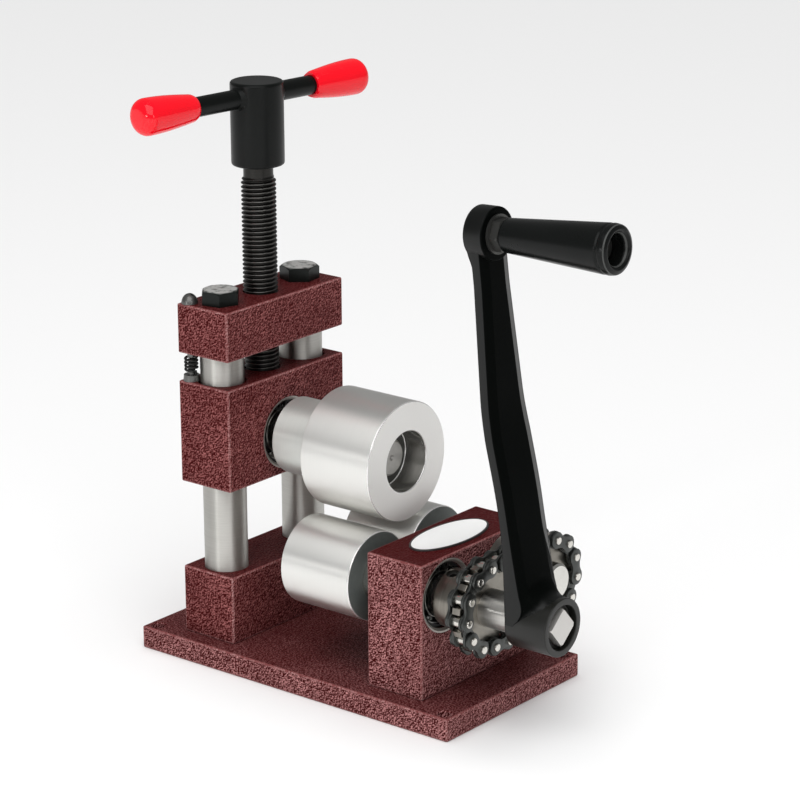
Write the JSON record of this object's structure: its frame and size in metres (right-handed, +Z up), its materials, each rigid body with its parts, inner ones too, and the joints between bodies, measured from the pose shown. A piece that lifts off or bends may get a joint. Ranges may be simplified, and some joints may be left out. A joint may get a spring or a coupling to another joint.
{
  "type": "three roller bracelet bending machine",
  "caption": "Bench-top roll bender: hand crank and roller chain turn the lower rollers while a tee-handled screw presses the upper roller down to curve strip or wire.",
  "frame": {"origin": "centre of the underside of the base plate, on the bench", "axes": "+X along the roller axes towards the crank, +Y along the top beam away from the cranked shaft, +Z up"},
  "size_m": [0.2544, 0.1328, 0.2664],
  "materials": {
    "hammer_paint": "hammer-finish dark red enamel",
    "ground_steel": "ground and lightly polished steel",
    "roller_steel": "turned steel",
    "bearing_steel": "polished bearing steel",
    "dark_steel": "blackened steel",
    "black_enamel": "semi-gloss black enamel",
    "chain_steel": "oiled chain steel",
    "pin_steel": "bright chain pins and rollers",
    "bronze": "bearing bronze",
    "red_plastic": "bright red moulded plastic",
    "black_plastic": "black moulded plastic",
    "plate_white": "thin aluminium plate with a white face"
  },
  "bodies": {
    "frame": {"base_plate": "hammer_paint", "base_screws": "dark_steel", "post_block": "hammer_paint", "near_column": "ground_steel", "far_column": "ground_steel", "top_beam": "hammer_paint", "column_bolts": "black_enamel", "front_block": "hammer_paint", "name_plate": "plate_white", "block_outer_races": "bearing_steel", "block_balls": "bearing_steel", "block_circlips": "dark_steel", "spring_screws": "black_enamel", "return_springs": "dark_steel", "chain_inner_plates": "chain_steel", "chain_outer_plates": "chain_steel", "chain_offset_link": "chain_steel", "chain_rollers": "pin_steel", "chain_pins": "pin_steel"},
    "carriage": {"carriage_block": "hammer_paint", "column_bushes": "bronze", "carriage_outer_races": "bearing_steel", "carriage_balls": "bearing_steel", "carriage_circlips": "dark_steel", "thrust_pad": "bronze", "spring_studs": "dark_steel"},
    "lead_screw": {"lead_screw": "black_enamel", "handle_hub": "black_enamel", "cross_bar": "black_enamel", "near_red_grip": "red_plastic", "far_red_grip": "red_plastic", "handle_grub_screw": "dark_steel"},
    "upper_roller": {"upper_roller": "roller_steel", "upper_shaft": "ground_steel", "upper_inner_races": "bearing_steel", "upper_spacer": "ground_steel", "upper_shaft_clip": "dark_steel", "upper_key": "dark_steel"},
    "drive_line": {"drive_roller": "roller_steel", "drive_shaft": "ground_steel", "drive_inner_races": "bearing_steel", "drive_spacers": "ground_steel", "drive_sprocket": "dark_steel", "drive_set_screw": "dark_steel", "drive_key": "dark_steel", "crank_arm": "black_enamel", "grip_spindle": "dark_steel", "spindle_nut": "dark_steel", "spindle_washer": "dark_steel"},
    "crank_grip": {"crank_grip": "black_plastic"},
    "driven_line": {"driven_roller": "roller_steel", "driven_shaft": "ground_steel", "driven_inner_races": "bearing_steel", "driven_spacers": "ground_steel", "driven_sprocket": "dark_steel", "driven_set_screw": "dark_steel", "driven_key": "dark_steel"}
  },
  "joints": [
    {"name": "carriage_slide", "type": "slide", "parent": "frame", "child": "carriage", "axis": [0, 0, 1], "range_m": [-0.004, 0.005], "deforming": ["return_springs"]},
    {"name": "screw_turn", "type": "hinge", "parent": "carriage", "child": "lead_screw", "pos_m": [-0.0555, 0, 0.2], "axis": [0, 0, 1], "range_deg": [-720, 900]},
    {"name": "upper_turn", "type": "hinge", "parent": "carriage", "child": "upper_roller", "pos_m": [0, 0, 0.1029], "axis": [1, 0, 0], "continuous": true},
    {"name": "crank_turn", "type": "hinge", "parent": "frame", "child": "drive_line", "pos_m": [0.08, -0.02143, 0.055], "axis": [1, 0, 0], "continuous": true, "deforming": ["chain_inner_plates", "chain_outer_plates", "chain_offset_link", "chain_rollers", "chain_pins"]},
    {"name": "driven_turn", "type": "hinge", "parent": "frame", "child": "driven_line", "pos_m": [0.08, 0.02143, 0.055], "axis": [1, 0, 0], "continuous": true},
    {"name": "grip_spin", "type": "hinge", "parent": "drive_line", "child": "crank_grip", "pos_m": [0.09781, -0.03033, 0.22477], "axis": [0.9989, -0.0025, 0.047], "continuous": true}
  ],
  "couplings": [
    {"joint": "screw_turn", "follows": "carriage_slide", "rad_per_m": 3141.6},
    {"joint": "driven_turn", "follows": "crank_turn", "ratio": 1}
  ]
}
